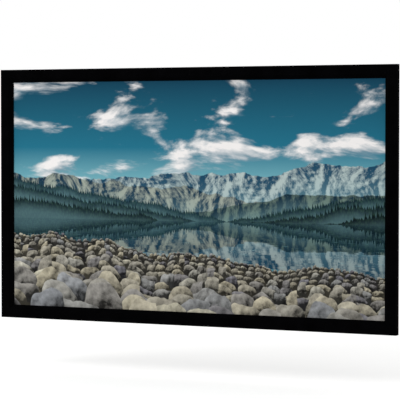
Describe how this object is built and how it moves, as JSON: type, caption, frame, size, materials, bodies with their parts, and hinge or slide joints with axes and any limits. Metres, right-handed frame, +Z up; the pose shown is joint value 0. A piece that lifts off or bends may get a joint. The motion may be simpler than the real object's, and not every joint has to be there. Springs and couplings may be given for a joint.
{
  "type": "fixed frame projector screen",
  "caption": "Wall-hung 16:9 projection screen: a vinyl sheet snapped flat into a mitred aluminium frame wrapped in black velvet.",
  "frame": {"origin": "centre of the overall box", "axes": "+Z up, the front of the screen faces -Y, the wall is at +Y, +X to the right seen from the front"},
  "size_m": [2.5948, 0.044, 1.528],
  "materials": {
    "screen_vinyl": "matte white PVC projection surface",
    "velvet": "flocked black velvet",
    "aluminium": "mill finish extrusion",
    "binding": "welded black edge binding with riveted snaps",
    "zinc_steel": "zinc plated",
    "black_oxide_steel": "black oxide",
    "hook_paint": "black powder coat"
  },
  "bodies": {
    "root": {"top_left_rail": "aluminium", "top_right_rail": "aluminium", "bottom_left_rail": "aluminium", "bottom_right_rail": "aluminium", "right_rail": "aluminium", "left_rail": "aluminium", "top_left_velvet_wrap": "velvet", "top_right_velvet_wrap": "velvet", "bottom_left_velvet_wrap": "velvet", "bottom_right_velvet_wrap": "velvet", "right_velvet_wrap": "velvet", "left_velvet_wrap": "velvet", "top_edge_binding": "binding", "bottom_edge_binding": "binding", "left_edge_binding": "binding", "right_edge_binding": "binding", "top_splice_key": "zinc_steel", "bottom_splice_key": "zinc_steel", "top_left_corner_key": "zinc_steel", "top_right_corner_key": "zinc_steel", "bottom_left_corner_key": "zinc_steel", "bottom_right_corner_key": "zinc_steel", "top_splice_screw_1": "black_oxide_steel", "top_splice_screw_2": "black_oxide_steel", "top_splice_screw_3": "black_oxide_steel", "top_splice_screw_4": "black_oxide_steel", "bottom_splice_screw_1": "black_oxide_steel", "bottom_splice_screw_2": "black_oxide_steel", "bottom_splice_screw_3": "black_oxide_steel", "bottom_splice_screw_4": "black_oxide_steel", "top_left_set_screw_1": "black_oxide_steel", "top_left_set_screw_2": "black_oxide_steel", "top_left_set_screw_3": "black_oxide_steel", "top_left_set_screw_4": "black_oxide_steel", "top_right_set_screw_1": "black_oxide_steel", "top_right_set_screw_2": "black_oxide_steel", "top_right_set_screw_3": "black_oxide_steel", "top_right_set_screw_4": "black_oxide_steel", "bottom_left_set_screw_1": "black_oxide_steel", "bottom_left_set_screw_2": "black_oxide_steel", "bottom_left_set_screw_3": "black_oxide_steel", "bottom_left_set_screw_4": "black_oxide_steel", "bottom_right_set_screw_1": "black_oxide_steel", "bottom_right_set_screw_2": "black_oxide_steel", "bottom_right_set_screw_3": "black_oxide_steel", "bottom_right_set_screw_4": "black_oxide_steel", "top_left_wall_hook": "hook_paint", "top_right_wall_hook": "hook_paint", "bottom_left_wall_hook": "hook_paint", "bottom_right_wall_hook": "hook_paint", "screen_vinyl": "screen_vinyl"}
  },
  "joints": []
}
